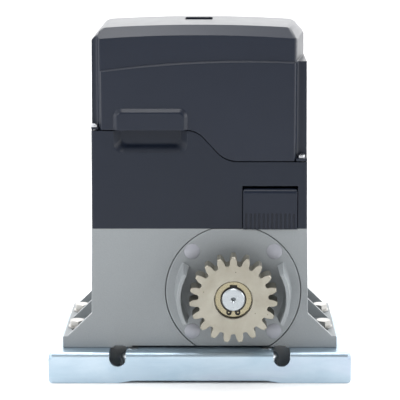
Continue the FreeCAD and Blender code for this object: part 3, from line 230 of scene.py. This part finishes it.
M = {}
M["cover"] = plastic("slate_cover", SLATE, 0.33, 0.32, mottled=0.05, edge=0.0012)
M["housing"] = plastic("slate_housing", SLATE_LOW, 0.38, 0.29, mottled=0.05, edge=0.0009)
M["door"] = plastic("slate_door", lin(23, 30, 44), 0.36, 0.30, mottled=0.04, edge=0.0009)
M["pad"] = plastic("dark_pad", lin(26, 27, 30), 0.5, 0.4)
M["cast"] = paint("grey_casting", CAST)
M["caps"] = plastic("grey_cap", lin(154, 156, 164), 0.26, 0.5, mottled=0.03)


def plate_mat():
    m = Mat("galvanised_sheet")
    m.rounded(0.0009)
    v = m.coords((1, 1, 1))
    long = m.noise(m.coords((5, 14, 60)), 1.0, 4, 0.6)
    cloud = m.noise(m.coords((16, 30, 55)), 1.0, 4, 0.62, 0.6)
    tint = m.noise(m.coords((10, 10, 26)), 1.0, 2, 0.5, 0.4)
    c = m.mixc(m.rng(cloud, 0.3, 0.72, 0.0, 1.0), lin(173, 195, 211), lin(194, 211, 224))
    c = m.mixc(m.rng(tint, 0.56, 0.76, 0.0, 0.30), c, lin(204, 200, 218))
    c = m.mixc(m.rng(long, 0.58, 0.80, 0.0, 0.35), c, lin(160, 181, 198))
    m.color(c)
    scratch = m.noise(m.coords((30, 30, 1800)), 1.0, 3, 0.55)
    m.rough(m.rng(m.noise(v, 30, 3, 0.5), 0.3, 0.7, 0.36, 0.44))
    m.normal(m.bump(scratch, 0.000012, 0.4, m.bump(m.noise(v, 14, 2, 0.5), 0.0005, 0.25)))
    m.set(Metallic=0.90)
    return m.m


def pinion_mat():
    m = Mat("pinion_steel")
    m.rounded(0.0009)
    v = m.coords()
    cloud = m.noise(v, 38, 4, 0.6, 0.5)
    c = m.mixc(m.rng(cloud, 0.3, 0.7, 0.0, 1.0), lin(153, 149, 137), lin(168, 165, 154))
    fine = m.noise(m.coords((60, 4000, 60)), 1.0, 2, 0.5)
    pits = m.n("ShaderNodeTexVoronoi")
    pits.inputs["Scale"].default_value = 95
    m.link(v, pits.inputs["Vector"])
    pit = m.rng(pits.outputs["Distance"], 0.028, 0.06, 1.0, 0.0)
    c = m.mixc(pit, c, lin(84, 78, 68))
    m.color(c)
    m.rough(m.rng(m.noise(v, 160, 3, 0.6), 0.3, 0.7, 0.36, 0.50))
    m.normal(m.bump(m.noise(v, 900, 3, 0.6), 0.00002, 0.5))
    m.set(Metallic=0.88)
    return m.m


M["plate"] = plate_mat()
M["pinion"] = pinion_mat()
ZINC = lin(186, 190, 193)
M["zinc"] = metal("zinc_hardware", ZINC, 0.30)
M["bolt"] = metal("zinc_bolts", lin(176, 175, 172), 0.34, stain=lin(138, 134, 126))
M["shaft"] = metal("ground_shaft", lin(168, 174, 178), 0.30, var=0.03, scratch=0.000002)
M["steel"] = metal("turned_steel", lin(176, 174, 168), 0.30)
M["chrome"] = metal("bearing_steel", lin(205, 206, 208), 0.14, var=0.03)
M["screwhead"] = metal("bright_screws", lin(176, 178, 182), 0.22, var=0.04)
M["brass"] = metal("bronze", lin(186, 148, 92), 0.34, var=0.10)
M["yellow"] = metal("yellow_zinc", lin(150, 143, 120), 0.26, scratch=0.000004, stain=lin(136, 126, 98), edge=0.0006)
M["iron"] = metal("machined_iron", lin(112, 112, 112), 0.45, var=0.10)
M["lams"] = metal("laminations", lin(120, 123, 128), 0.42, brush=True, bscale=(60, 60, 2200), scratch=0.00012)
M["lamsh"] = metal("core_laminations", lin(112, 114, 118), 0.42, brush=True, bscale=(60, 2200, 60), scratch=0.00012)
M["alu"] = metal("die_cast", lin(196, 198, 200), 0.42, var=0.05, scratch=0.00008)
M["black"] = metal("phosphated", lin(34, 33, 32), 0.42, metallic=0.6)
M["rubber"] = plastic("black_rubber", lin(30, 30, 30), 0.55, 0.3)
M["fan"] = plastic("fan_plastic", lin(34, 35, 37), 0.42, 0.4)
M["red"] = plastic("release_red", lin(190, 60, 32), 0.40, 0.45, mottled=0.05)
M["carrier"] = plastic("carrier_plastic", lin(66, 68, 72), 0.45, 0.4)
M["term"] = plastic("terminal_green", lin(44, 138, 92), 0.40, 0.45, mottled=0.05)
M["relay"] = plastic("relay_blue", lin(36, 66, 128), 0.30, 0.5, mottled=0.04)
M["comp"] = plastic("component_black", lin(38, 38, 42), 0.32, 0.5)
M["capac"] = plastic("capacitor_grey", lin(210, 210, 206), 0.34, 0.5, mottled=0.03)
M["coil"] = plastic("winding_tape", lin(206, 178, 92), 0.36, 0.5, mottled=0.05)


def copper_mat():
    m = Mat("varnished_copper")
    v = m.coords((260, 260, 1400))
    w = m.noise(v, 1.0, 2, 0.5)
    m.color(m.mixc(m.rng(w, 0.3, 0.7, 0.0, 1.0), lin(120, 52, 24), lin(196, 104, 52)))
    m.normal(m.bump(w, 0.0004, 0.8))
    m.rough(m.rng(w, 0.3, 0.7, 0.22, 0.36))
    m.set(Metallic=0.55)
    return m.m


def board_mat():
    m = Mat("solder_mask")
    v = m.coords()
    br = m.n("ShaderNodeTexBrick")
    br.inputs["Scale"].default_value = 1.0
    br.inputs["Mortar Size"].default_value = 0.0008
    br.inputs["Brick Width"].default_value = 0.009
    br.inputs["Row Height"].default_value = 0.0032
    br.inputs["Color1"].default_value = (*lin(26, 96, 58), 1)
    br.inputs["Color2"].default_value = (*lin(30, 108, 64), 1)
    br.inputs["Mortar"].default_value = (*lin(48, 140, 84), 1)
    mp = m.coords((1, 1, 1), (math.radians(90), 0, 0))
    m.link(mp, br.inputs["Vector"])
    n = m.noise(v, 240, 2, 0.5)
    m.color(m.mixc(m.rng(n, 0.45, 0.55, 0.0, 0.6), br.outputs[0], lin(24, 88, 54)))
    m.rough(m.rng(n, 0.3, 0.7, 0.24, 0.36))
    m.normal(m.bump(br.outputs["Fac"], 0.00006, 0.4))
    return m.m


M["copper"] = copper_mat()
M["board"] = board_mat()

LOOK = {
    "foundation_plate": "plate", "levelling_feet": "zinc", "levelling_studs": "zinc", "gearcase": "cast", "gearbox_cover": "cast",
    "screw_caps": "caps", "cover_bolts": "zinc", "shaft_seal": "rubber", "pinion": "pinion", "output_shaft": "shaft", "pinion_key": "steel",
    "clutch_keys": "steel", "pinion_washer": "yellow", "pinion_circlip": "black", "shaft_bearing_outer_races": "chrome",
    "shaft_bearing_inner_races": "chrome", "shaft_bearing_balls": "chrome", "motor_bearing_outer_races": "chrome",
    "motor_bearing_inner_races": "chrome", "motor_bearing_balls": "chrome", "worm_wheel_rim": "brass", "worm_wheel_hub": "iron",
    "wheel_bush": "brass", "shaft_spacer": "steel", "clutch_sleeve": "steel", "worm_shaft": "steel", "rotor_shaft": "steel",
    "rotor_core": "lams", "stator_core": "lams", "stator_windings": "copper", "motor_can": "alu", "motor_flange": "alu",
    "motor_end_bell": "alu", "cooling_fan": "fan", "motor_screws": "zinc", "lower_housing": "housing", "housing_screws": "zinc",
    "top_cover": "cover", "roof_pad": "pad", "cover_screws": "screwhead", "release_door": "door", "release_knob": "red",
    "release_spindle": "steel", "spindle_brackets": "zinc", "shift_fork": "iron", "board_carrier": "carrier", "control_board": "board",
    "board_screws": "zinc", "terminal_blocks": "term", "relays": "relay", "board_components": "comp", "transformer_shelf": "zinc",
    "transformer_core": "lamsh", "transformer_coil": "coil", "run_capacitor": "capac", "capacitor_clip": "zinc",
    "magnetic_sensor": "comp", "foot_bolts": "bolt", "foot_washers": "bolt", "weld_nuts": "zinc"}


# ------------------------------------------------------------------ bodies of the nodes
BODY = {n: b for b, ns in frame["record"]["behaviour"]["bodies"].items() for n in ns}


def round_over(x, y, r, sx, z0, z1, n=7):
    """Cutter for a vertical outer corner at (x, y): the corner's square less a quarter circle of radius r."""
    bm = bmesh.new()
    e = 0.0006
    cx, cy = x - sx * r, y + r
    ring = [(cx, y - e), (x + sx * e, y - e), (x + sx * e, cy)]
    ring += [(cx + sx * r * math.cos(t), cy - r * math.sin(t)) for t in [math.pi / 2 * i / n for i in range(n + 1)]]
    low = [bm.verts.new((px, py, z0)) for px, py in ring]
    top = [bm.verts.new((px, py, z1)) for px, py in ring]
    bm.faces.new(low)
    bm.faces.new(list(reversed(top)))
    for i in range(len(ring)):
        j = (i + 1) % len(ring)
        bm.faces.new((low[j], low[i], top[i], top[j]))
    bmesh.ops.recalc_face_normals(bm, faces=bm.faces)
    me = bpy.data.meshes.new("cutter")
    bm.to_mesh(me)
    bm.free()
    return me


def carve(me, cutters):
    """The mesh less the cutters, as a new mesh."""
    ob = bpy.data.objects.new("carved", me)
    SC.collection.objects.link(ob)
    tools = []
    for c in cutters:
        t = bpy.data.objects.new("tool", c)
        SC.collection.objects.link(t)
        tools.append(t)
        m = ob.modifiers.new("cut", "BOOLEAN")
        m.operation, m.solver, m.object = "DIFFERENCE", "EXACT", t
    dg = bpy.context.evaluated_depsgraph_get()
    out = bpy.data.meshes.new_from_object(ob.evaluated_get(dg))
    for o in [ob] + tools:
        bpy.data.objects.remove(o, do_unlink=True)
    return out


def skin(node, bevel=0.0005, seg=2, ang=28, dis=0.6, name=None, rolls=(), cutters=()):
    """The node's own shape with rolled edges, on its own body, in place of the node."""
    src = NODES[node]
    bm = bmesh.new()
    bm.from_mesh(src.data)
    for l in list(bm.loops.layers.uv):
        bm.loops.layers.uv.remove(l)
    bmesh.ops.remove_doubles(bm, verts=bm.verts, dist=2e-6)
    bmesh.ops.dissolve_degenerate(bm, edges=bm.edges, dist=1e-6)
    bmesh.ops.dissolve_limit(bm, angle_limit=math.radians(dis), verts=bm.verts, edges=bm.edges, use_dissolve_boundaries=False)
    bm.normal_update()
    for test, width, n in rolls:
        picked = [e for e in bm.edges if len(e.link_faces) == 2 and e.is_convex and e.calc_face_angle(0) > 0.45
                  and test(e, (e.verts[0].co + e.verts[1].co) / 2, e.verts[1].co - e.verts[0].co)]
        if picked:
            bmesh.ops.bevel(bm, geom=picked, offset=width, offset_type="OFFSET", segments=n, profile=0.5, affect="EDGES",
                            clamp_overlap=False, loop_slide=True)
        bm.normal_update()
    me = bpy.data.meshes.new(name or node + "_shell")
    bm.to_mesh(me)
    bm.free()
    if cutters:
        me = carve(me, cutters)
    ob = bpy.data.objects.new(name or node + "_shell", me)
    SC.collection.objects.link(ob)
    if bevel > 0:
        b = ob.modifiers.new("roll", "BEVEL")
        b.width, b.segments, b.limit_method, b.angle_limit = bevel, seg, "ANGLE", math.radians(ang)
        b.miter_outer = "MITER_ARC"
        b.harden_normals = False
        b.use_clamp_overlap = True
        b.loop_slide = False
    for p in me.polygons:
        p.use_smooth = True
    w = ob.modifiers.new("wn", "WEIGHTED_NORMAL")
    w.keep_sharp = False
    w.weight = 60
    ob.data.materials.append(M[LOOK[node]])
    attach(ob, BODY[node])
    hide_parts(node)
    return ob


for n, o in NODES.items():
    o.data.materials.clear()
    o.data.materials.append(M[LOOK[n]])

# ------------------------------------------------------------------ stage, light, camera
w = bpy.data.worlds.new("studio")
SC.world = w
w.use_nodes = True
wt = w.node_tree
wt.nodes.clear()
wo = wt.nodes.new("ShaderNodeOutputWorld")
bg = wt.nodes.new("ShaderNodeBackground")
tc = wt.nodes.new("ShaderNodeTexCoord")
sep = wt.nodes.new("ShaderNodeSeparateXYZ")
mr = wt.nodes.new("ShaderNodeMapRange")
mr.interpolation_type = "SMOOTHSTEP"
mr.inputs[1].default_value, mr.inputs[2].default_value = -0.72, 0.30
mr.inputs[3].default_value, mr.inputs[4].default_value = 0.20, 2.25
wt.links.new(tc.outputs["Generated"], sep.inputs[0])
wt.links.new(sep.outputs[1], mr.inputs[0])
wt.links.new(mr.outputs[0], bg.inputs[1])
bg.inputs[0].default_value = (1, 1, 1, 1)
wt.links.new(bg.outputs[0], wo.inputs[0])


def area(name, loc, target, size, power, col=(1, 1, 1), sy=None):
    d = bpy.data.lights.new(name, "AREA")
    d.energy, d.color, d.size = power, col, size
    if sy:
        d.shape, d.size_y = "RECTANGLE", sy
    o = bpy.data.objects.new(name, d)
    SC.collection.objects.link(o)
    o.location = loc
    o.rotation_euler = (Vector(target) - Vector(loc)).to_track_quat("-Z", "Y").to_euler()
    return o


area("key", (-1.25, -1.3, 1.25), (0, 0, 0.18), 0.7, 10.8)
area("fill", (1.4, -0.40, 0.50), (0, 0, 0.2), 0.4, 4.4, sy=0.8)
area("top", (-0.25, 0.22, 1.65), (0, 0, 0.2), 0.5, 3.2)
area("front_top", (0.0, -0.53, 1.47), (0, 0, 0.25), 0.6, 4.4, sy=0.25)
area("left_side", (-1.4, -0.35, 0.45), (0, 0, 0.2), 0.4, 2.2, sy=0.8)

me = bpy.data.meshes.new("floor")
s = 6.0
me.from_pydata([(-s, -s, -0.0003), (s, -s, -0.0003), (s, s, -0.0003), (-s, s, -0.0003)], [], [(0, 1, 2, 3)])
fl = bpy.data.objects.new("floor", me)
SC.collection.objects.link(fl)
fm = Mat("floor_white")
fm.set(Base_Color=(0.93, 0.93, 0.93, 1), Roughness=0.7)
fl.data.materials.append(fm.m)

cam = bpy.data.cameras.new("camera")
co = bpy.data.objects.new("camera", cam)
SC.collection.objects.link(co)
cam.sensor_width, cam.lens = 36.0, 148.5
cam.clip_start, cam.clip_end = 0.05, 50
co.location = (0.020, -1.575, 0.4894)
PITCH, YAW, TILT = 11.61, 0.0, 0.0
cam.shift_x = -0.0515
co.rotation_mode = "QUATERNION"
co.rotation_quaternion = (Matrix.Rotation(math.radians(YAW), 3, "Z") @ Matrix.Rotation(math.radians(90 - PITCH), 3, "X")
                          @ Matrix.Rotation(math.radians(TILT), 3, "Z")).to_quaternion()
SC.camera = co
SC.view_settings.view_transform = "Standard"

# ------------------------------------------------------------------ hero pieces
def roof_side(e, m, d):
    """The long edges that run front to back where the roof meets its side slopes."""
    return (abs(d.y) > 0.6 * d.length and d.length > 0.005 and abs(m.x) > 0.080 and e.calc_face_angle(0) > 0.55 and m.y < 0.060
            and (m.z > 0.330 or (m.x > 0 and m.y < 0 and m.z > 0.3255)))


EDGES = {"top_cover": ((roof_side, 0.004, 6),)}
FY = -0.0465
CUTS = {"top_cover": (round_over(0.0906, FY, 0.0030, 1, 0.190, 0.3060), round_over(0.0906, FY + 0.002, 0.0030, 1, 0.3062, 0.345),
                      round_over(-0.0942, FY + 0.002, 0.0026, -1, 0.230, 0.345))}
ROLL = {"top_cover": (0.0009, 3), "lower_housing": (0.0007, 3), "gearcase": (0.0006, 2), "gearbox_cover": (0.0005, 2),
        "foundation_plate": (0.0005, 2), "release_door": (0.0004, 2)}
for node in ("top_cover", "lower_housing", "gearcase", "gearbox_cover", "foundation_plate", "release_door"):
    skin(node, *ROLL[node], rolls=EDGES.get(node, ()), cutters=CUTS.get(node, ()))
